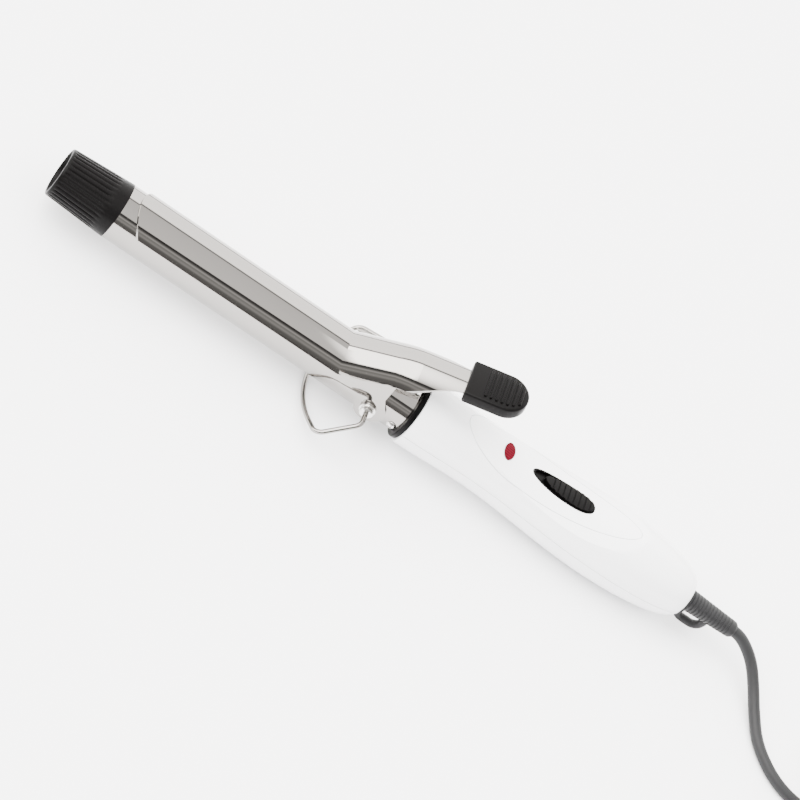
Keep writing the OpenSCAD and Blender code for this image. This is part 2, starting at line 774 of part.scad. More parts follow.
module cord_clamp() {
    clamp_z = -3.2;
    on_handle() color("whitesmoke") difference() {
        block([clamp_x - 3, clamp_x + 3], [-10, 10], [clamp_z, clamp_z + 6.6]);
        rod_x(clamp_x - 4, clamp_x + 4, cord_r);
        for (s = [-1, 1]) {
            translate([clamp_x, s * clamp_post_y, -10]) cylinder(r = 1, h = 20);
        }
    }
}
module clamp_screws() {
    on_handle() color("silver") for (s = [-1, 1]) {
        translate([clamp_x, s * clamp_post_y, 3.4]) dome_screw(1, 12, 2, 1.2);
    }
}

// ---- strain relief ----

module strain_relief() {
    pitch = (relief_len - 3) / relief_rings;
    groove = 0.4;
    function relief_at(x) = relief_r - 0.1 + (relief_end_r - relief_r + 0.1) * x / relief_len;
    loop_r = 2;
    loop_x = [handle_len + 4.2, handle_len + 16.5];
    loop_z = -11.9;
    on_handle() color("#4a4a4c") {
        turned() polygon(concat(
            [[0, handle_len - 14], [cord_r, handle_len - 14], [cord_r, handle_len - 7.5], [3.1, handle_len - 7.5]],
            [[3.1, handle_len - 7.5 + eps], [6.2, handle_len - 7.5 + eps], [6.2, handle_len - shell_wall - 0.1],
                [relief_r, handle_len - shell_wall - 0.1], [relief_r, handle_len + 0.4]],
            [for (i = [0:relief_rings - 1]) each [
                [relief_at(i * pitch) - groove, handle_len + 0.6 + i * pitch],
                [relief_at(i * pitch) - groove, handle_len + 1 + i * pitch],
                [relief_at(i * pitch), handle_len + 1.3 + i * pitch],
                [relief_at((i + 1) * pitch), handle_len + 0.4 + (i + 1) * pitch]]],
            [[relief_end_r, handle_len + relief_len - 1], [relief_end_r - 0.6, handle_len + relief_len],
                [0, handle_len + relief_len]]));
        upright() bent_wire([[loop_x[0], -3], [loop_x[0], loop_z], [loop_x[1], loop_z], [loop_x[1], -3]],
            [0, 4, 4, 0], loop_r);
    }
}

// ---- clip ----

// Places the lever's rising run, then its last run
module on_rise() {
    translate([-lever_start, 0, 0]) rotate([0, -lever_rise, 0]) children();
}
module on_tail() {
    on_rise() translate([lever_run + lever_bend_r * sin(lever_bend), 0, lever_bend_r * (cos(lever_bend) - 1)])
        rotate([0, lever_bend, 0]) children();
}
// Section of the clip's sheet, its crown towards +X, thinner all round by inset
module arch(inset) {
    intersection() {
        difference() {
            circle(r = clip_ro - inset);
            circle(r = clip_ri + inset);
        }
        translate([clip_edge + inset, -clip_ro - 1]) square([clip_ro, 2 * clip_ro + 2]);
    }
}
module arch_run(l) {
    rotate([180, 0, 0]) rotate([0, 90, 0]) linear_extrude(l) arch(0);
}
function lever_half_w(x) = let (u = min(1, max(0, (x + 34) / 42)))
    clip_ro - (clip_ro - lever_tip_half_w) * ease(u * u);
// Plan outline of the clip and lever
module clip_plan() {
    tongue_r = 14.7;
    far = 60;
    shoulder = clip_front + tongue_r - sqrt(tongue_r * tongue_r - clip_ro * clip_ro);
    translate([clip_front + tongue_r, 0]) circle(r = tongue_r);
    polygon(concat(
        [[shoulder, clip_ro]], [for (x = [-34:2:8]) [x, lever_half_w(x)]], [[far, lever_tip_half_w]],
        [[far, -lever_tip_half_w]], [for (x = [8:-2:-34]) [x, -lever_half_w(x)]], [[shoulder, -clip_ro]]));
}
// One ear: a plate beside the barrel that leans in under the lever's flange
module ear() {
    top_lean = 2;
    lobe = [1 - hinge_back, -0.4];
    intersection() {
        translate([-60, 0, 0]) rotate([90, 0, 90]) linear_extrude(60) polygon([
            [-ear_y, -12], [-ear_y, 4], [-ear_y + top_lean, 18], [-ear_y - ear_t + top_lean, 18.3],
            [-ear_y - ear_t, 4.1], [-ear_y - ear_t, -12]]);
        upright() linear_extrude(40) union() {
            translate(lobe) circle(r = 7);
            polygon([[-38.5, 7.6], [-34.5, 6.9], [-30.5, 5.6], [-27, 2.4], [-24.5, -1.8], [-23, -5],
                [-18, -6.5], [-11.3, -3.4], [-10.6, -0.5], [-12.6, 4.5], [-15.6, 9], [-16.2, 18], [-22, 15],
                [-32, 9.6]]);
        }
    }
}
module clip() {
    half = lever_rise / 2;
    placed() color("silver") difference() {
        union() {
            intersection() {
                union() {
                    intersection() {
                        translate([clip_front, 0, 0]) arch_run(barrel_free);
                        translate([-lever_start, 0, 0]) rotate([0, -half, 0])
                            block([-200, lap / 2], [-30, 30], [-30, 60]);
                    }
                    intersection() {
                        on_rise() translate([-10, 0, 0]) arch_run(lever_run + 10 + lap);
                        translate([-lever_start, 0, 0]) rotate([0, -half, 0])
                            block([-lap / 2, 200], [-30, 30], [-30, 60]);
                    }
                    on_rise() translate([lever_run, 0, -lever_bend_r]) rotate([-90, -90, 0])
                        rotate_extrude(angle = lever_bend) translate([lever_bend_r, 0]) arch(hair);
                    on_tail() translate([-lap, 0, 0]) arch_run(lever_tail + lap);
                }
                linear_extrude(80) clip_plan();
            }
            both_sides() ear();
        }
        rod_y(-hinge_back, 0, -barrel_d, barrel_d, rivet_r + hinge_fit);
    }
}

rest_start = 19.5;
module rest_outline(inset) {
    half = rest_w / 2;
    translate([rest_start + inset, inset - half]) square([rest_len - half - inset, rest_w - 2 * inset]);
    translate([rest_start + rest_len - half, 0]) circle(r = half - inset);
}
module thumb_rest() {
    top = clip_ro + rest_cover;
    rib_pitch = 2.2;
    rib_r = 0.5;
    placed() on_tail() color("#2a2a2b") difference() {
        union() {
            translate([0, 0, top - rest_t]) linear_extrude(rest_t) rest_outline(0);
            intersection() {
                translate([0, 0, top - 1]) linear_extrude(3) rest_outline(2);
                for (i = [0:rest_ribs - 1]) {
                    translate([rest_start + rest_len - 5 - i * rib_pitch, 0, top - 0.05])
                        rotate([90, 0, 0]) cylinder(r = rib_r, h = rest_w, center = true);
                }
            }
        }
        intersection() {
            difference() {
                rod_x(rest_start - eps, lever_tail, clip_ro);
                rod_x(rest_start - 1, lever_tail + 1, clip_ri);
            }
            block([0, lever_tail], [-lever_tip_half_w, lever_tip_half_w], [0, 30]);
        }
    }
}

module clip_spring() {
    strip = [0.5, 7];
    placed() color("lightsteelblue") upright() bent_strip(
        [[4, 31.7], [-12, 26.8], [-20.5, 16.5], [-16.5, 12.95], [-3.5, 12.95]], [0, 4, 3, 3.5, 0],
        strip.x, strip.y);
}

module stand() {
    placed() translate([-hinge_back, 0, 0]) rotate([0, 180 - stand_angle, 0]) color("gainsboro")
        bent_wire(stand_path, stand_radii, wire_r);
}

// ---- cord ----

module mains_cord() {
    color("#333333") tube_along(smooth_route(cord_route, 1), cord_r, 10);
}
module hank_outline() {
    half = hank_w / 2;
    for (s = [-1, 1]) {
        translate([s * (hank_len / 2 - half), 0]) circle(r = half);
    }
    translate([half - hank_len / 2, -half]) square([hank_len - hank_w, hank_w]);
}
module cord_hank() {
    color("#333333") translate([hank_c.x, hank_c.y, hank_base]) linear_extrude(hank_h) hank_outline();
}
module hank_tie() {
    t = tie.y;
    color("black") translate([tie_x, hank_c.y, 0]) difference() {
        block([-tie.x / 2, tie.x / 2], [-hank_w / 2 - t, hank_w / 2 + t], [0, hank_h + 2 * t]);
        block([-tie.x, tie.x], [-hank_w / 2, hank_w / 2], [t, hank_h + t]);
    }
}
module cord_end() {
    color("#333333") tube_along(smooth_route(tail_route, 1), cord_r, 10);
}
plug_at = [305, -36];
module on_plug() {
    translate([plug_at.x, plug_at.y, hank_base + hank_h + plug.z / 2]) children();
}
module plug_body() {
    nose = plug.x;
    on_plug() color("#2c2c2c") {
        difference() {
            translate([0, 0, -plug.z / 2]) linear_extrude(plug.z) polygon([
                [-nose, -plug.y / 2 + 2], [-nose + 2, -plug.y / 2], [-nose + 13, -plug.y / 2], [-6, -6.5], [0, -5.5],
                [0, 5.5], [-6, 6.5], [-nose + 13, plug.y / 2], [-nose + 2, plug.y / 2], [-nose, plug.y / 2 - 2]]);
            for (s = [-1, 1]) {
                translate([0, s * pin_pitch / 2, 0]) rod_x(-nose - eps, -nose + pin_root, pin_root_r);
            }
        }
    }
}
module plug_pins() {
    on_plug() color("gold") for (s = [-1, 1]) {
        translate([0, s * pin_pitch / 2, 0]) {
            rod_x(-plug.x - pin_len + 1.5, -plug.x, pin_r);
            rod_x(-plug.x - eps, -plug.x + pin_root, pin_root_r);
            translate([-plug.x - pin_len + 1.5, 0, 0]) rotate([0, -90, 0]) cylinder(r1 = pin_r, r2 = 1, h = 1.5);
        }
    }
}

barrel();
cool_tip();
heat_collar();
barrel_support();
barrel_screws();
hinge_rivets();
spreader_upper();
spreader_lower();
mica_upper();
mica_lower();
electrode_upper();
electrode_lower();
ptc_stone_1();
ptc_stone_2();
ptc_stone_3();
thermal_fuse();
handle_lower();
handle_upper();
control_panel();
lamp_lens();
neon_lamp();
switch_bezel();
switch_slider();
switch_body();
wire_neutral();
wire_live_in();
wire_live_out();
crimp_neutral();
crimp_live();
cord_clamp();
clamp_screws();
handle_screws();
strain_relief();
clip();
thumb_rest();
clip_spring();
stand();
mains_cord();
cord_hank();
hank_tie();
cord_end();
plug_body();
plug_pins();
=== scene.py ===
import functools
import json
import math

import bmesh
import bpy
from bpy.props import FloatProperty, FloatVectorProperty, PointerProperty
from mathutils import Matrix, Vector


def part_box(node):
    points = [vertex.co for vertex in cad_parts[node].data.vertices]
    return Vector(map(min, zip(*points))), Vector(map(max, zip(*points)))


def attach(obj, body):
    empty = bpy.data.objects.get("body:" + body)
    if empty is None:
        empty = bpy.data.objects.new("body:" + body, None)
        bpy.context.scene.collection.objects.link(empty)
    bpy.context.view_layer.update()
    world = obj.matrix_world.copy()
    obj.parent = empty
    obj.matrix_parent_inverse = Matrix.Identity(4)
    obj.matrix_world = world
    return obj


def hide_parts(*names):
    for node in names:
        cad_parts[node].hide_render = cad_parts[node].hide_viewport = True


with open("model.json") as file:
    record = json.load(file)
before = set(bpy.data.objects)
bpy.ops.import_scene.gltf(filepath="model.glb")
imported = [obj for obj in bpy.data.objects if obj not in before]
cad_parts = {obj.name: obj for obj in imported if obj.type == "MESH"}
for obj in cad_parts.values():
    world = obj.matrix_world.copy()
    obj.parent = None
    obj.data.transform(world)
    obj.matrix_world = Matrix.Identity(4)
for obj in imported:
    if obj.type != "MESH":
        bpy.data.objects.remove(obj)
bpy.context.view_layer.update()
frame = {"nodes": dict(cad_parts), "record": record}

bl_info = {
    "name": "Curling Iron",
    "version": (1, 0, 0),
    "blender": (4, 5, 0),
    "location": "3D View > Sidebar > Curling Iron",
    "description": "Dresses a curling iron with a spring clip, a wire stand and a tied cord",
    "category": "Object",
}

NODES = frame["nodes"]
BARREL_LOW, BARREL_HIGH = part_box("barrel")
AXIS_Z = (BARREL_LOW.z + BARREL_HIGH.z) / 2
BARREL_R = (BARREL_HIGH.z - BARREL_LOW.z) / 2
MM = 0.001


# ---- shader expressions ----

class Value:
    """A number that varies over a surface. Arithmetic on it adds Math nodes."""

    def __init__(self, paint, socket):
        self.paint = paint
        self.socket = socket

    def math(self, operation, other=0.5, swapped=False, clamp=False):
        pair = (other, self) if swapped else (self, other)
        chosen = {"operation": operation, "use_clamp": clamp}
        made = self.paint.node("ShaderNodeMath", chosen, {0: pair[0], 1: pair[1]})
        return Value(self.paint, made.outputs[0])

    def __add__(self, other):
        return self.math("ADD", other)

    def __radd__(self, other):
        return self.math("ADD", other, True)

    def __sub__(self, other):
        return self.math("SUBTRACT", other)

    def __rsub__(self, other):
        return self.math("SUBTRACT", other, True)

    def __mul__(self, other):
        return self.math("MULTIPLY", other)

    def __rmul__(self, other):
        return self.math("MULTIPLY", other, True)

    def __truediv__(self, other):
        return self.math("DIVIDE", other)

    def __pow__(self, other):
        return self.math("POWER", other)

    def clamped(self):
        return self.math("ADD", 0.0, clamp=True)


class Paint:
    """The node tree of one material, built from expressions."""

    def __init__(self, name):
        self.material = bpy.data.materials.new(name)
        self.material.use_nodes = True
        self.tree = self.material.node_tree
        self.tree.nodes.clear()
        self.object_point = self.node("ShaderNodeTexCoord").outputs["Object"]

    def node(self, kind, settings=None, sockets=None):
        """Adds any node: its settings first, then the values or links of its sockets."""
        made = self.tree.nodes.new(kind)
        for name, value in (settings or {}).items():
            if name == "stops":
                ramp = made.color_ramp.elements
                while len(ramp) < len(value):
                    ramp.new(0.5)
                for element, (place, colour) in zip(ramp, value):
                    element.position = place
                    element.color = colour
            else:
                setattr(made, name, value)
        for name, value in (sockets or {}).items():
            if isinstance(value, Value):
                value = value.socket
            if isinstance(value, bpy.types.NodeSocket):
                self.tree.links.new(value, made.inputs[name])
            else:
                made.inputs[name].default_value = value
        return made

    def noise(self, scale, detail=2.0, roughness=0.5, stretch=None):
        point = self.object_point
        if stretch:
            point = self.node("ShaderNodeMapping", {}, {"Vector": point, "Scale": stretch}).outputs[0]
        made = self.node("ShaderNodeTexNoise", {}, {"Vector": point, "Scale": scale, "Detail": detail,
                                                   "Roughness": roughness})
        return Value(self, made.outputs[0])

    def axis(self, letter):
        made = self.node("ShaderNodeSeparateXYZ", {}, {0: self.object_point})
        return Value(self, made.outputs[letter])

    def blend(self, factor, first, second):
        colours = {0: factor, 6: (*first, 1.0), 7: (*second, 1.0)}
        return self.node("ShaderNodeMix", {"data_type": "RGBA"}, colours).outputs[2]

    def bump(self, height, distance, strength=1.0):
        sockets = {"Height": height, "Distance": distance, "Strength": strength}
        return self.node("ShaderNodeBump", {}, sockets).outputs[0]

    def surface(self, **sockets):
        named = {key.replace("_", " ").title(): value for key, value in sockets.items()}
        if "Specular Ior Level" in named:
            named["Specular IOR Level"] = named.pop("Specular Ior Level")
        shader = self.node("ShaderNodeBsdfPrincipled", {}, named)
        self.node("ShaderNodeOutputMaterial", {}, {0: shader.outputs[0]})
        return self.material


def shade(colour, factor):
    return tuple(channel * factor for channel in colour)


def bright_plating(name, tint, rough=0.05, grain=(1.0, 1.0, 1.0)):
    """Polished plating: faint smears of wear and a hint of the rolling grain under it."""
    paint = Paint(name)
    smear = paint.noise(60.0, 4.0, 0.6, (0.35, 1.0, 1.0))
    grain_lines = paint.noise(900.0, 2.0, 0.5, grain)
    colour = paint.blend(smear, shade(tint, 0.94), tint)
    return paint.surface(base_color=colour, metallic=1.0, roughness=smear * 0.05 + rough - 0.02,
                         normal=paint.bump(grain_lines, 0.000006, 0.35))


def moulded_plastic(name, tint, rough, grain_size, grain_depth, coat=0.0, dust=0.06, gloss=0.06):
    """Moulded resin: spark-eroded grain or polish, and slight changes of tone."""
    paint = Paint(name)
    tone = paint.noise(45.0, 4.0, 0.55)
    grain = paint.noise(1.0 / grain_size, 3.0, 0.6)
    colour = paint.blend(tone, shade(tint, 1.0 - dust), tint)
    return paint.surface(base_color=colour, roughness=tone * 0.08 + rough - 0.04, coat_weight=coat,
                         coat_roughness=0.06, specular_ior_level=gloss,
                         normal=paint.bump(grain, grain_depth))


def glossy_white(name, tint):
    """The handle's polished shells."""
    return moulded_plastic(name, tint, 0.2, 0.002, 0.000006, coat=0.35, dust=0.012, gloss=0.5)


def soft_rubber(name, tint):
    """Cord sheath and soft mouldings: matt, with a fine skin."""
    paint = Paint(name)
    tone = paint.noise(90.0, 3.0, 0.6)
    skin = paint.noise(2600.0, 3.0, 0.65)
    colour = paint.blend(tone, shade(tint, 0.85), shade(tint, 1.15))
    return paint.surface(base_color=colour, roughness=tone * 0.12 + 0.42,
                         specular_ior_level=0.2, normal=paint.bump(skin, 0.00002))


def metal(name, tint, rough, line=(1.0, 1.0, 1.0)):
    """Plain metal for fasteners, spreaders and contacts."""
    paint = Paint(name)
    tone = paint.noise(150.0, 4.0, 0.6)
    lines = paint.noise(1500.0, 2.0, 0.5, line)
    colour = paint.blend(tone, shade(tint, 0.8), tint)
    return paint.surface(base_color=colour, metallic=1.0, roughness=tone * 0.15 + rough,
                         normal=paint.bump(lines, 0.00001, 0.6))


def lamp_red(name, tint):
    """The lamp's unlit lens: red, with the moulded prisms showing through its skin."""
    paint = Paint(name)
    prisms = (paint.axis("Y") * 5200.0).math("SINE")
    depth = paint.noise(500.0, 2.0)
    colour = paint.blend((prisms * 0.25 + depth * 0.6).clamped(), shade(tint, 0.5), shade(tint, 1.8))
    return paint.surface(base_color=colour, roughness=0.3, specular_ior_level=0.03,
                         normal=paint.bump(prisms, 0.00003, 0.4))


def ceramic_sheet(name, tint):
    """Mica and ceramic: matt, with flecks."""
    paint = Paint(name)
    fleck = paint.noise(1200.0, 4.0, 0.7)
    colour = paint.blend(fleck, shade(tint, 0.7), shade(tint, 1.2))
    return paint.surface(base_color=colour, roughness=0.7, normal=paint.bump(fleck, 0.00003))


# ---- sizes and colours that a user would change ----

class IronFinish(bpy.types.PropertyGroup):
    """Colours and finishes of the iron."""
    plating: FloatVectorProperty(name="Plating", description="Tint of the bright plating", subtype="COLOR",
                                 size=3, default=(0.305, 0.292, 0.278), min=0, max=1)
    white: FloatVectorProperty(name="Handle", description="Colour of the handle shells", subtype="COLOR",
                               size=3, default=(0.84, 0.84, 0.85), min=0, max=1)
    black: FloatVectorProperty(name="Black parts", description="Colour of the heat-resistant mouldings",
                               subtype="COLOR", size=3, default=(0.0022, 0.0020, 0.0020), min=0, max=1)
    lens: FloatVectorProperty(name="Lens", description="Colour of the lamp's lens", subtype="COLOR",
                              size=3, default=(0.075, 0.0008, 0.006), min=0, max=1)
    cord: FloatVectorProperty(name="Cord", description="Colour of the cord's sheath", subtype="COLOR",
                              size=3, default=(0.012, 0.012, 0.0125), min=0, max=1)
    relief: FloatVectorProperty(name="Strain relief", description="Colour of the strain relief",
                                subtype="COLOR", size=3, default=(0.012, 0.012, 0.0125), min=0, max=1)


class IronCord(bpy.types.PropertyGroup):
    """The mains cord."""
    diameter: FloatProperty(name="Diameter", description="Diameter of the cord", default=0.0054,
                            min=0.004, max=0.008, unit="LENGTH")


class IronStage(bpy.types.PropertyGroup):
    """Camera and light."""
    heading: FloatProperty(name="Heading", description="How far the camera looks towards the tip",
                           default=math.radians(14.7), unit="ROTATION")
    elevation: FloatProperty(name="Elevation", description="Height of the camera over the horizon",
                             default=math.radians(47.5), unit="ROTATION")
    roll: FloatProperty(name="Roll", description="Turn of the picture about the line of sight",
                        default=math.radians(33.9), unit="ROTATION")
    distance: FloatProperty(name="Distance", description="From the camera to the barrel's axis",
                            default=1.13, unit="LENGTH")
    lens: FloatProperty(name="Focal length", description="Focal length of the camera", default=120.6)


# ---- piece helpers ----

WELD_DISTANCE = 0.000001
CAD_SHARP = math.radians(28)
PIECE_SHARP = math.radians(30)
RIM_ANGLE = math.radians(40)


def dress(node, material):
    """Gives a CAD node its material, and smooth normals between its welded faces."""
    cad = NODES[node]
    cad.data.materials.clear()
    cad.data.materials.append(material)
    for face in cad.data.polygons:
        face.use_smooth = True
    weld = cad.modifiers.new("Weld", "WELD")
    weld.merge_threshold = WELD_DISTANCE
    split = cad.modifiers.new("Edges", "EDGE_SPLIT")
    split.split_angle = CAD_SHARP


def add_piece(name, bm, body, slot, node):
    """Links a finished shape as a piece that rides on a body and stands for a CAD node."""
    mesh = bpy.data.meshes.new(name)
    bm.to_mesh(mesh)
    bm.free()
    mesh.materials.append(finish_of(slot))
    mesh.shade_smooth()
    mesh.set_sharp_from_angle(angle=PIECE_SHARP)
    piece = bpy.data.objects.new(name, mesh)
    bpy.context.scene.collection.objects.link(piece)
    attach(piece, body)
    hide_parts(node)


def spun(profile, steps):
    """A closed solid of revolution about the barrel's axis, from [(x, radius), ...] in metres."""
    bm = bmesh.new()
    line = [bm.verts.new((x, 0.0, radius)) for x, radius in profile]
    edges = [bm.edges.new(pair) for pair in zip(line, line[1:])]
    bmesh.ops.spin(bm, geom=line + edges, cent=(0, 0, 0), axis=(1, 0, 0), angle=math.tau, steps=steps,
                   use_merge=True)
    bmesh.ops.remove_doubles(bm, verts=bm.verts, dist=WELD_DISTANCE)
    bmesh.ops.recalc_face_normals(bm, faces=bm.faces)
    return bm


def rounded(bm, edges, radius, segments):
    """Rounds edges of a shape."""
    bmesh.ops.bevel(bm, geom=edges, offset=radius, segments=segments, profile=0.5, affect="EDGES",
                    material=-1)


def bar(bm, size, centre, radius, segments):
    """Adds a bar with rounded edges to a shape."""
    corners = bmesh.ops.create_cube(bm, size=1.0)["verts"]
    bmesh.ops.scale(bm, verts=corners, vec=size)
    bmesh.ops.translate(bm, verts=corners, vec=centre)
    edges = list({edge for vert in corners for edge in vert.link_edges})
    rounded(bm, edges, radius, segments)


def slab(outline, low, high, edge_round, segments):
    """An extruded outline with its rim edges rounded, from [(x, y), ...] in metres."""
    bm = bmesh.new()
    face = bm.faces.new([bm.verts.new((x, y, low)) for x, y in outline])
    grown = bmesh.ops.extrude_face_region(bm, geom=[face])["geom"]
    raised = [vert for vert in grown if isinstance(vert, bmesh.types.BMVert)]
    bmesh.ops.translate(bm, verts=raised, vec=(0, 0, high - low))
    bmesh.ops.recalc_face_normals(bm, faces=bm.faces)
    rims = [edge for edge in bm.edges if edge.calc_face_angle() > RIM_ANGLE]
    rounded(bm, rims, edge_round, segments)
    return bm


def arc(centre, radius, start, end, count):
    """Points of an arc in plan, its angles in degrees."""
    turns = [math.radians(start + (end - start) * i / count) for i in range(count + 1)]
    return [(centre[0] + radius * math.cos(t), centre[1] + radius * math.sin(t)) for t in turns]


# CAD nodes that a modelled piece stands for
REMADE = {"cool_tip", "thumb_rest", "plug_body", "hank_tie", "mains_cord", "cord_hank", "cord_end"}

# ---- cool tip ----

TIP_FLUTES = 32
TIP_STEPS = 8 * TIP_FLUTES
TIP_FLUTE_DEPTH = 0.00042
TIP_FLUTE_MARGINS = (0.0012, 0.0055)
TIP_FLUTE_FADES = (0.0006, 0.002)
TIP_FLUTE_SHARPNESS = 3
TIP_EDGE = 0.0009
TIP_DISH = 0.0022
TIP_DISH_WALLS = (0.0020, 0.0014)
TIP_TAPER = 0.0015
TIP_RIM = 0.0001
TIP_STATIONS = 24
SPIGOT_FIT = 0.0009
SPIGOT_WALL = 0.0024


def tip_profile(low, high):
    """Half section of the cool tip, [(x, radius), ...], from its dish back to its spigot."""
    base = BARREL_LOW.x
    front_r, base_r, spigot_r = BARREL_R - TIP_TAPER, BARREL_R + TIP_RIM, BARREL_R - SPIGOT_FIT
    stations = [low.x + (base - low.x) * i / TIP_STATIONS for i in range(TIP_STATIONS + 1)]
    flank = [(x, front_r + (base_r - front_r) * (x - low.x) / (base - low.x))
             for x in stations if x > low.x + TIP_EDGE]
    rounding = [(low.x + TIP_EDGE - TIP_EDGE * math.cos(t), front_r - TIP_EDGE + TIP_EDGE * math.sin(t))
                for t in (0.0, 0.4, 0.8, 1.2, math.pi / 2)]
    dish = [(low.x + TIP_DISH, 0.0), (low.x + TIP_DISH, front_r - TIP_DISH_WALLS[0]),
            (low.x, front_r - TIP_DISH_WALLS[1])]
    bore_r = spigot_r - SPIGOT_WALL
    spigot = [(base, spigot_r), (high.x, spigot_r), (high.x, bore_r), (base, bore_r), (base, 0.0)]
    return dish + rounding + flank + spigot


class CURLING_OT_cool_tip(bpy.types.Operator):
    """Turns the fluted cool tip and its spigot"""
    bl_idname = "curling_iron.cool_tip"
    bl_label = "Cool tip"

    def execute(self, context):
        low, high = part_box("cool_tip")
        base = BARREL_LOW.x
        bm = spun(tip_profile(low, high), TIP_STEPS)
        flute_start, flute_end = low.x + TIP_FLUTE_MARGINS[0], base - TIP_FLUTE_MARGINS[1]
        for vert in bm.verts:
            radius = math.hypot(vert.co.y, vert.co.z)
            if radius < BARREL_R - TIP_TAPER - 0.0002 or vert.co.x > base - 0.0001:
                continue
            run = min((vert.co.x - flute_start) / TIP_FLUTE_FADES[0],
                      (flute_end - vert.co.x) / TIP_FLUTE_FADES[1])
            wave = 0.5 - 0.5 * math.cos(math.atan2(vert.co.y, vert.co.z) * TIP_FLUTES)
            sink = TIP_FLUTE_DEPTH * min(1.0, max(0.0, run)) * wave ** TIP_FLUTE_SHARPNESS
            vert.co.y *= 1 - sink / radius
            vert.co.z *= 1 - sink / radius
        bmesh.ops.translate(bm, verts=bm.verts, vec=(0, 0, AXIS_Z))
        add_piece("cool_tip_fluted", bm, "handle", "tip_black", "cool_tip")
        return {"FINISHED"}


# ---- thumb rest ----

REST_W = 0.0195
REST_LEN = 0.0265
REST_THICK = 0.0062
REST_SLOPE = math.radians(17)
REST_EDGE = 0.0011
REST_SINK = 0.0004
REST_RIBS = 7
REST_RIB_PITCH = 0.00245
REST_RIB_START = 0.0032
REST_RIB_MARGIN = 0.0024
REST_RIB_W = 0.0012
REST_RIB_H = 0.0019
REST_RIB_EDGE = 0.0004


def rest_place():
    """Where the thumb rest's front top edge sits: its plate is as steep as the lever's last run."""
    low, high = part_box("thumb_rest")
    top = high.z - math.sin(REST_SLOPE) * REST_LEN - REST_SINK
    return Matrix.Translation(Vector((low.x, 0.0, top))) @ Matrix.Rotation(-REST_SLOPE, 4, "Y")


class CURLING_OT_thumb_rest(bpy.types.Operator):
    """Shapes the thumb rest and its grip ribs on the lever's end"""
    bl_idname = "curling_iron.thumb_rest"
    bl_label = "Thumb rest"

    def execute(self, context):
        half = REST_W / 2
        nose = REST_LEN - half
        outline = [(0.0, -half), *arc((nose, 0.0), half, -90, 90, 20), (0.0, half)]
        bm = slab(outline, -REST_THICK, 0.0, REST_EDGE, 4)
        for i in range(REST_RIBS):
            along = REST_LEN - REST_RIB_START - i * REST_RIB_PITCH
            side = math.sqrt(half ** 2 - max(0.0, along - nose) ** 2)
            bar(bm, (REST_RIB_W, 2 * (side - REST_RIB_MARGIN), REST_RIB_H), (along, 0.0, 0.0),
                REST_RIB_EDGE, 3)
        bmesh.ops.transform(bm, verts=bm.verts, matrix=rest_place())
        add_piece("thumb_rest_ribbed", bm, "clip", "rest_black", "thumb_rest")
        return {"FINISHED"}


# ---- plug and tie ----

PLUG_EDGE = 0.0019
PLUG_NECK = 0.0057
PLUG_GRIPS = 4
PLUG_GRIP_START = 0.016
PLUG_GRIP_PITCH = 0.0032
PLUG_GRIP_LEN = 0.014
PLUG_GRIP_STEP = 0.002
PLUG_GRIP_W = 0.0014
PLUG_GRIP_H = 0.0010
PLUG_GRIP_SINK = 0.0003
PLUG_GRIP_EDGE = 0.00045
BAND_BEND = 0.0026
BAND_THICK = 0.0006


class CURLING_OT_plug(bpy.types.Operator):
    """Moulds the plug with rounded edges and a finger grip"""
    bl_idname = "curling_iron.plug"
    bl_label = "Plug"

    def execute(self, context):
        low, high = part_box("plug_body")
        middle = (low.y + high.y) / 2
        half = (high.y - low.y) / 2
        side = [(low.x, half - 0.002), (low.x + 0.002, half), (low.x + 0.0125, half),
                (low.x + 0.016, half - 0.0012), (high.x - 0.008, 0.0078),
                (high.x - 0.004, PLUG_NECK + 0.0006), (high.x, PLUG_NECK)]
        outline = [(x, middle - y) for x, y in side] + [(x, middle + y) for x, y in reversed(side)]
        bm = slab(outline, low.z, high.z, PLUG_EDGE, 4)
        for i in range(PLUG_GRIPS):
            size = (PLUG_GRIP_W, PLUG_GRIP_LEN - PLUG_GRIP_STEP * i, PLUG_GRIP_H)
            along = low.x + PLUG_GRIP_START + PLUG_GRIP_PITCH * i
            for height in (high.z - PLUG_GRIP_SINK, low.z + PLUG_GRIP_SINK):
                bar(bm, size, (along, middle, height), PLUG_GRIP_EDGE, 2)
        add_piece("plug_moulded", bm, "handle", "plug_black", "plug_body")
        return {"FINISHED"}


class CURLING_OT_tie(bpy.types.Operator):
    """Bends the band that holds the hank"""
    bl_idname = "curling_iron.tie"
    bl_label = "Hank tie"

    def execute(self, context):
        low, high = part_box("hank_tie")
        bm = bmesh.new()
        bmesh.ops.create_cube(bm, size=1.0)
        bmesh.ops.scale(bm, verts=bm.verts, vec=high - low)
        bmesh.ops.translate(bm, verts=bm.verts, vec=(low + high) / 2)
        ends = [face for face in bm.faces if abs(face.normal.x) > 0.5]
        bmesh.ops.delete(bm, geom=ends, context="FACES_ONLY")
        corners = [edge for edge in bm.edges if len(edge.link_faces) == 2]
        rounded(bm, corners, BAND_BEND, 8)
        bmesh.ops.recalc_face_normals(bm, faces=bm.faces)
        bmesh.ops.solidify(bm, geom=bm.faces[:], thickness=BAND_THICK)
        bmesh.ops.recalc_face_normals(bm, faces=bm.faces)
        add_piece("hank_band", bm, "handle", "tie_black", "hank_tie")
        return {"FINISHED"}


# ---- cord ----

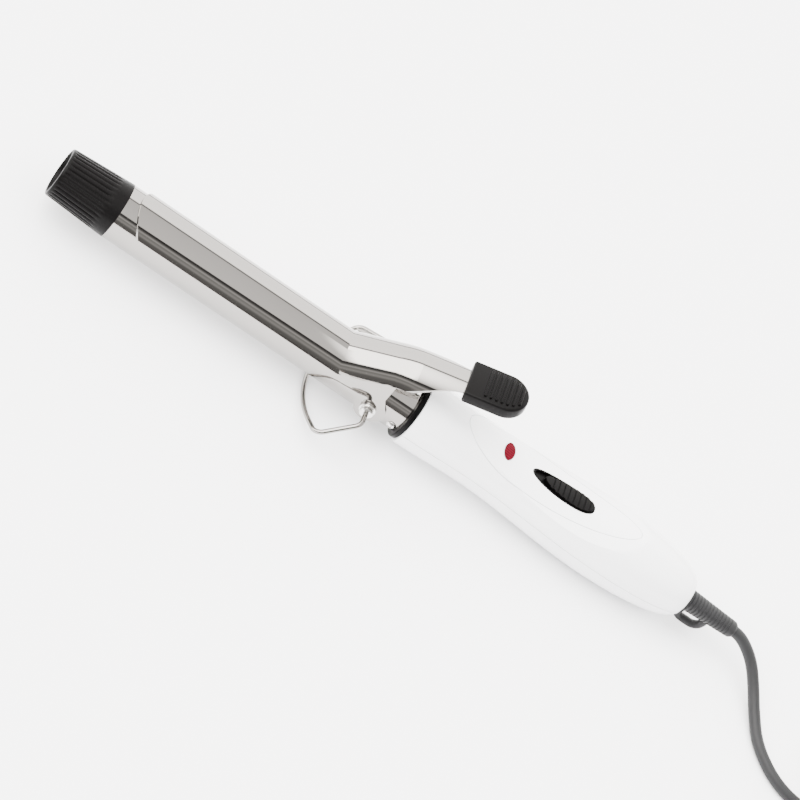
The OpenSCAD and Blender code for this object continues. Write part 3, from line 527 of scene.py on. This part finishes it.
# The cord's route in millimetres: from the strain relief to the hank, then from the hank to the plug
CORD_RUN = [(178.6, 0, 16.1), (181.6, -0.2, 15.8), (184.8, -0.9, 15.1), (188.1, -2.2, 14),
            (191.6, -4.2, 12.6), (195, -7, 10.9), (198.2, -10.6, 8.9), (201.4, -15.2, 6.8),
            (204.3, -20.4, 5), (207.2, -26, 3.7), (210, -31.6, 2.9), (213.4, -37, 2.7),
            (217.8, -42, 2.7), (223.2, -46.4, 2.7), (229.6, -49.8, 2.8), (236.6, -51.8, 3),
            (244, -52.3, 3.2), (252, -52.3, 3.2), (271, -52.3, 3.2)]
CORD_TAIL = [(353, -13.1, 14), (346, -14.2, 14.5), (339, -17.4, 16), (332, -22, 18.2),
             (325, -27.1, 20.4), (318, -31.7, 22.1), (311, -34.9, 23.2), (304, -36, 23.55)]
# The hank, in millimetres: where its runs fold, the radii of its two columns and its layers' heights
HANK_FOLD = (271.0, 353.0)
HANK_Y = -30.0
HANK_RADII = (22.3, 16.9)
HANK_BASE = 3.2
HANK_LAYER = 5.4
# Where on a turn the cord steps to its next place: its distance past the fold, its length, and how
# much sooner each later turn does it
STEP_MARGIN = 2.0
STEP_LENGTH = 40.0
STEP_LAG = 13.4
TURN_POINTS = 30
TAIL_EARLY = 4.0


def eased(u):
    """A smooth step from 0 to 1."""
    u = min(1.0, max(0.0, u))
    return u * u * (3 - 2 * u)


def hank_route(spots, tail_at):
    """Points of the wound hank: turns in two columns, each turn stepping to the next place.

    The innermost, newest turn steps first, so that the turns never cross through each other."""
    straight = HANK_FOLD[1] - HANK_FOLD[0]
    step_start = straight + math.pi * HANK_RADII[1] + STEP_MARGIN
    points = []
    for turn in range(len(spots)):
        last = turn == len(spots) - 1
        here = spots[turn]
        after = spots[min(turn + 1, len(spots) - 1)]
        radius = here[0]
        length = 2 * straight + 2 * math.pi * radius
        begins = step_start + (len(spots) - 2 - turn) * STEP_LAG
        takes = STEP_LENGTH if turn else length - begins - STEP_MARGIN
        for i in range(TURN_POINTS):
            s = length * i / TURN_POINTS
            if last and s > tail_at:
                break
            u = 0.0 if last else eased((s - begins) / takes)
            r = here[0] + (after[0] - here[0]) * u
            z = here[1] + (after[1] - here[1]) * u
            if s < straight:
                points.append((HANK_FOLD[0] + s, HANK_Y - r, z))
            elif s < straight + math.pi * radius:
                a = (s - straight) / radius - math.pi / 2
                points.append((HANK_FOLD[1] + r * math.cos(a), HANK_Y + r * math.sin(a), z))
            elif s < 2 * straight + math.pi * radius:
                points.append((HANK_FOLD[1] - (s - straight - math.pi * radius), HANK_Y + r, z))
            else:
                a = (s - 2 * straight - math.pi * radius) / radius + math.pi / 2
                points.append((HANK_FOLD[0] + r * math.cos(a), HANK_Y + r * math.sin(a), z))
    return points


def cord_points():
    """The whole cord: its run to the hank, its wound turns and its tail to the plug."""
    outer, inner = HANK_RADII
    layer = [HANK_BASE + HANK_LAYER * i for i in range(3)]
    spots = [(outer, layer[0]), (inner, layer[0]), (inner, layer[1]), (outer, layer[1]),
             (outer, layer[2]), (inner, layer[2])]
    wound = hank_route(spots, HANK_FOLD[1] - HANK_FOLD[0] + math.pi * inner - TAIL_EARLY)
    return CORD_RUN[:-1] + wound + CORD_TAIL


class CURLING_OT_cord(bpy.types.Operator):
    """Lays the mains cord and winds its spare length into a tied hank"""
    bl_idname = "curling_iron.cord"
    bl_label = "Cord"

    def execute(self, context):
        cord = context.scene.curling_iron_cord
        line = bpy.data.curves.new("mains_cord", "CURVE")
        line.dimensions = "3D"
        line.bevel_depth = cord.diameter / 2
        line.bevel_resolution = 5
        line.resolution_u = 4
        line.use_fill_caps = True
        spline = line.splines.new("BEZIER")
        route = cord_points()
        spline.bezier_points.add(len(route) - 1)
        for knot, point in zip(spline.bezier_points, route):
            knot.co = Vector(point) * MM
            knot.handle_left_type = knot.handle_right_type = "AUTO"
        line.materials.append(finish_of("cord_black"))
        piece = bpy.data.objects.new("cord", line)
        context.scene.collection.objects.link(piece)
        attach(piece, "handle")
        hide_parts("mains_cord", "cord_hank", "cord_end")
        return {"FINISHED"}


@functools.cache
def finishes():
    """Each slot's finish, made once."""
    finish = bpy.context.scene.curling_iron_finish
    black = finish.black
    white = finish.white
    zinc = metal("ZincPlate", (0.72, 0.71, 0.69), 0.14)
    tin = metal("TinPlate", (0.7, 0.7, 0.7), 0.3)
    return {
        "barrel_chrome": bright_plating("BarrelPlating", finish.plating, 0.07, (0.03, 1.0, 1.0)),
        "clip_chrome": bright_plating("ClipPlating", finish.plating, 0.06, (0.03, 1.0, 1.0)),
        "stand_wire": bright_plating("WirePlating", shade(finish.plating, 0.95), 0.09),
        "tip_black": moulded_plastic("TipBlack", shade(black, 1.1), 0.36, 0.0004, 0.00002),
        "collar_black": moulded_plastic("CollarBlack", shade(black, 0.7), 0.34, 0.0004, 0.00002),
        "rest_black": moulded_plastic("RestBlack", black, 0.33, 0.0004, 0.00002),
        "handle_white": glossy_white("HandleWhite", white),
        "panel_white": glossy_white("PanelWhite", white),
        "lens_red": lamp_red("LensRed", finish.lens),
        "lamp_glass": moulded_plastic("LampGlass", (0.8, 0.45, 0.25), 0.1, 0.004, 0.000005),
        "switch_black": moulded_plastic("SwitchBlack", shade(black, 0.8), 0.32, 0.0004, 0.00002),
        "switch_case": moulded_plastic("SwitchCase", (0.04, 0.04, 0.05), 0.45, 0.0005, 0.00002),
        "zinc_steel": zinc,
        "support_resin": moulded_plastic("SupportResin", (0.14, 0.1, 0.06), 0.5, 0.0005, 0.00003),
        "heater_aluminium": metal("SpreaderAluminium", (0.7, 0.7, 0.71), 0.35, (1.0, 8.0, 8.0)),
        "mica_sheet": ceramic_sheet("MicaSheet", (0.55, 0.42, 0.25)),
        "electrode_brass": metal("ContactBrass", (0.75, 0.55, 0.25), 0.25),
        "ptc_ceramic": ceramic_sheet("StoneGrey", (0.08, 0.08, 0.085)),
        "fuse_metal": tin,
        "wire_red": moulded_plastic("WireRed", (0.35, 0.02, 0.02), 0.35, 0.001, 0.00001),
        "wire_blue": moulded_plastic("WireBlue", (0.02, 0.12, 0.4), 0.35, 0.001, 0.00001),
        "crimp_tin": tin,
        "relief_grey": soft_rubber("ReliefGrey", finish.relief),
        "cord_black": soft_rubber("CordSheath", finish.cord),
        "tie_black": moulded_plastic("TieBlack", shade(black, 0.5), 0.45, 0.0006, 0.00003),
        "plug_black": moulded_plastic("PlugBlack", black, 0.36, 0.0004, 0.00002),
        "pin_brass": metal("PinBrass", (0.8, 0.68, 0.42), 0.18),
    }


def finish_of(slot):
    """The finish of one material slot."""
    return finishes()[slot]


class CURLING_OT_cad_finish(bpy.types.Operator):
    """Gives every piece that keeps its CAD shape its own finish"""
    bl_idname = "curling_iron.cad_finish"
    bl_label = "Finishes"

    def execute(self, context):
        for part in frame["record"]["subparts"]:
            if part["node"] not in REMADE:
                dress(part["node"], finish_of(part["material_slot"]))
        return {"FINISHED"}


# Brightness of the studio round the iron's length, by angle from straight up towards the front
STUDIO_GLOW = 12.6
STUDIO_BACK = [(-94, 0.03), (-88, 0.04), (-84, 0.42), (-29, 0.46), (-26, 0.02), (-23, 0.02), (-21, 0.17)]
STUDIO_OVERHEAD = [(43, 0.19), (45, 0.005)]
STUDIO_FRONT = [(48, 0.006), (53, 0.03), (58, 0.10), (62, 0.045), (70, 0.07), (76, 0.03),
                (86, 0.025), (91, 0.005), (96, 0.25)]
LEVER_OVERHEAD = [(-20, 1.0), (41, 1.0), (45, 0.005)]
LEVER_BACK = STUDIO_BACK[:-1]
# How far a direction leans towards the tip before it sees the lever's bands, and sees only them
LEVER_LEAN = (-0.18, -0.28)
STUDIO_TINT = (1.0, 0.98, 0.955)
SKY_ENERGY = 10.0
SKY_SPREAD = math.radians(100)
SKY_TILT = (math.radians(14), math.radians(-8), 0.0)
FLOOR_RADIUS = 6.0
FLOOR_TONES = ((0.86, 0.86, 0.87), (0.88, 0.88, 0.89))
CAMERA_TARGET = Vector((-0.0065, 0.0, AXIS_Z))


class CURLING_OT_stage(bpy.types.Operator):
    """Sets up the floor, the soft studio light and the camera"""
    bl_idname = "curling_iron.stage"
    bl_label = "Stage"

    def execute(self, context):
        stage = context.scene.curling_iron_stage
        bm = bmesh.new()
        bmesh.ops.create_circle(bm, cap_ends=True, segments=64, radius=FLOOR_RADIUS)
        mesh = bpy.data.meshes.new("floor")
        bm.to_mesh(mesh)
        bm.free()
        paint = Paint("PaleFloor")
        tone = paint.noise(3.0, 2.0)
        mesh.materials.append(paint.surface(base_color=paint.blend(tone, *FLOOR_TONES), roughness=0.7))
        floor = bpy.data.objects.new("floor", mesh)
        context.scene.collection.objects.link(floor)
        self.world(context.scene)
        self.sky_light()
        self.camera(context, stage)
        return {"FINISHED"}

    def world(self, scene):
        """Soft boxes and dark gaps round the table, which the plating mirrors."""
        world = bpy.data.worlds.new("Studio")
        world.use_nodes = True
        scene.world = world
        tree = world.node_tree
        direction = tree.nodes.new("ShaderNodeTexCoord")
        parts = tree.nodes.new("ShaderNodeSeparateXYZ")
        flipped = tree.nodes.new("ShaderNodeMath")
        flipped.operation = "MULTIPLY"
        flipped.inputs[1].default_value = -1.0
        angle = tree.nodes.new("ShaderNodeMath")
        angle.operation = "ARCTAN2"
        share = tree.nodes.new("ShaderNodeMath")
        share.operation = "MULTIPLY_ADD"
        share.inputs[1].default_value = 1 / math.tau
        share.inputs[2].default_value = 0.5
        near_tip = tree.nodes.new("ShaderNodeMapRange")
        near_tip.inputs["From Min"].default_value = LEVER_LEAN[0]
        near_tip.inputs["From Max"].default_value = LEVER_LEAN[1]
        mix = tree.nodes.new("ShaderNodeMix")
        mix.data_type = "RGBA"
        links = tree.links
        links.new(direction.outputs["Generated"], parts.inputs[0])
        links.new(parts.outputs["Y"], flipped.inputs[0])
        links.new(flipped.outputs[0], angle.inputs[0])
        links.new(parts.outputs["Z"], angle.inputs[1])
        links.new(angle.outputs[0], share.inputs[0])
        links.new(parts.outputs["X"], near_tip.inputs["Value"])
        links.new(near_tip.outputs[0], mix.inputs[0])
        for bands, socket in ((STUDIO_BACK + STUDIO_OVERHEAD + STUDIO_FRONT, 6),
                              (LEVER_BACK + LEVER_OVERHEAD + STUDIO_FRONT, 7)):
            ramp = tree.nodes.new("ShaderNodeValToRGB")
            stops = ramp.color_ramp.elements
            while len(stops) < len(bands):
                stops.new(0.5)
            for stop, (degrees, level) in zip(stops, bands):
                stop.position = degrees / 360 + 0.5
                stop.color = (*shade(STUDIO_TINT, level), 1.0)
            links.new(share.outputs[0], ramp.inputs[0])
            links.new(ramp.outputs[0], mix.inputs[socket])
        links.new(mix.outputs[2], tree.nodes["Background"].inputs[0])
        tree.nodes["Background"].inputs[1].default_value = STUDIO_GLOW

    def sky_light(self):
        """A broad, very soft light from above that the plating doesn't mirror."""
        light = bpy.data.lights.new("SkyLight", "SUN")
        light.energy = SKY_ENERGY
        light.angle = SKY_SPREAD
        lamp = bpy.data.objects.new("SkyLight", light)
        lamp.rotation_euler = SKY_TILT
        lamp.visible_glossy = False
        bpy.context.scene.collection.objects.link(lamp)

    def camera(self, context, stage):
        """Looks at the middle of the iron from the heading, elevation and roll that the stage gives."""
        psi, rise, roll = stage.heading, stage.elevation, stage.roll
        back = Vector((-math.sin(psi), -math.cos(psi) * math.cos(rise), math.cos(psi) * math.sin(rise)))
        along = Vector((math.cos(psi), -math.sin(psi) * math.cos(rise), math.sin(psi) * math.sin(rise)))
        across = Vector((0.0, -math.sin(rise), -math.cos(rise)))
        right = along * math.cos(roll) - across * math.sin(roll)
        down = along * math.sin(roll) + across * math.cos(roll)
        data = bpy.data.cameras.new("Camera")
        data.lens = stage.lens
        camera = bpy.data.objects.new("Camera", data)
        turn = Matrix((right, -down, back)).transposed().to_4x4()
        camera.matrix_world = Matrix.Translation(CAMERA_TARGET + back * stage.distance) @ turn
        context.scene.collection.objects.link(camera)
        context.scene.camera = camera


class CURLING_PT_panel(bpy.types.Panel):
    """Lists the iron's operators"""
    bl_label = "Curling Iron"
    bl_idname = "CURLING_PT_panel"
    bl_space_type = "VIEW_3D"
    bl_region_type = "UI"
    bl_category = "Curling Iron"

    def draw(self, context):
        for group in ("curling_iron_finish", "curling_iron_cord", "curling_iron_stage"):
            held = getattr(context.scene, group)
            for name in held.__annotations__:
                self.layout.prop(held, name)
        for operator in OPERATORS:
            self.layout.operator(operator.bl_idname)


GROUPS = {"curling_iron_finish": IronFinish, "curling_iron_cord": IronCord, "curling_iron_stage": IronStage}
OPERATORS = (CURLING_OT_stage, CURLING_OT_plug, CURLING_OT_tie, CURLING_OT_cord, CURLING_OT_cool_tip,
             CURLING_OT_thumb_rest, CURLING_OT_cad_finish)


def register():
    for held in (*GROUPS.values(), *OPERATORS, CURLING_PT_panel):
        bpy.utils.register_class(held)
    for name, group in GROUPS.items():
        setattr(bpy.types.Scene, name, PointerProperty(type=group))


def unregister():
    for name in GROUPS:
        delattr(bpy.types.Scene, name)
    for held in reversed((*GROUPS.values(), *OPERATORS, CURLING_PT_panel)):
        bpy.utils.unregister_class(held)


def main():
    register()
    for operator in OPERATORS:
        area, name = operator.bl_idname.split(".")
        getattr(getattr(bpy.ops, area), name)()


if __name__ == "__main__":
    main()
